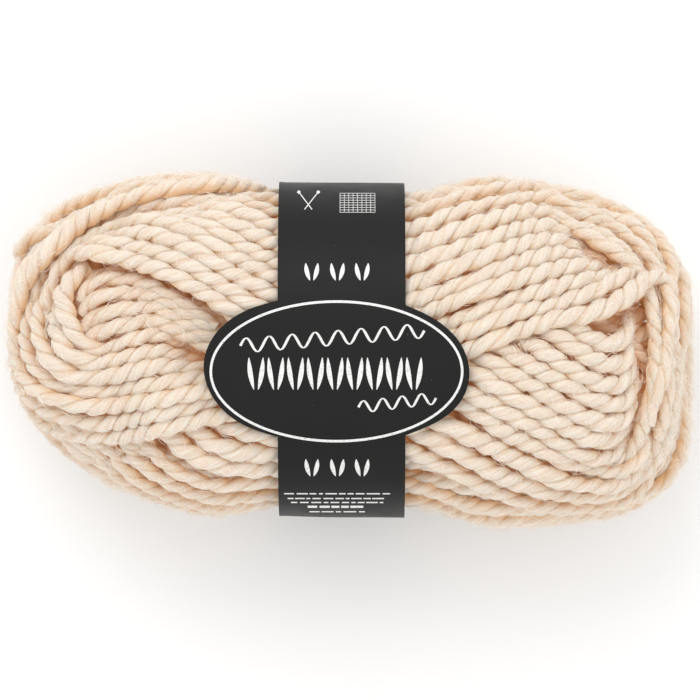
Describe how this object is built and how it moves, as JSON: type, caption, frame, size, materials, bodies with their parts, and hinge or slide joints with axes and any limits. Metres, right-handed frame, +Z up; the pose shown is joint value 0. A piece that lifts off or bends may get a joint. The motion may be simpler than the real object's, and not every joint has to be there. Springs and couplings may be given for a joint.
{
  "type": "banded pull skein of chunky yarn",
  "caption": "Oblong pull skein of cream chunky plied yarn, wound crosswise, with a black paper band round its waist and an oval front label; for knitting and craft scenes.",
  "frame": {"origin": "centre of the bounding box at the level of the two flat spots that the skein rests on", "axes": "+X along the skein's length towards its squarer end, +Y across it towards the top of the label, +Z up, out of the label's face"},
  "size_m": [0.17, 0.0886, 0.0707],
  "materials": {
    "yarn": "soft, slightly satiny acrylic fibre in cream with a warm peach cast, plump twisted plies",
    "band_paper": "coated black paper, smooth, semi-gloss, thin pale printed line"
  },
  "bodies": {
    "root": {"wound_yarn": "yarn", "paper_band": "band_paper"}
  },
  "joints": []
}
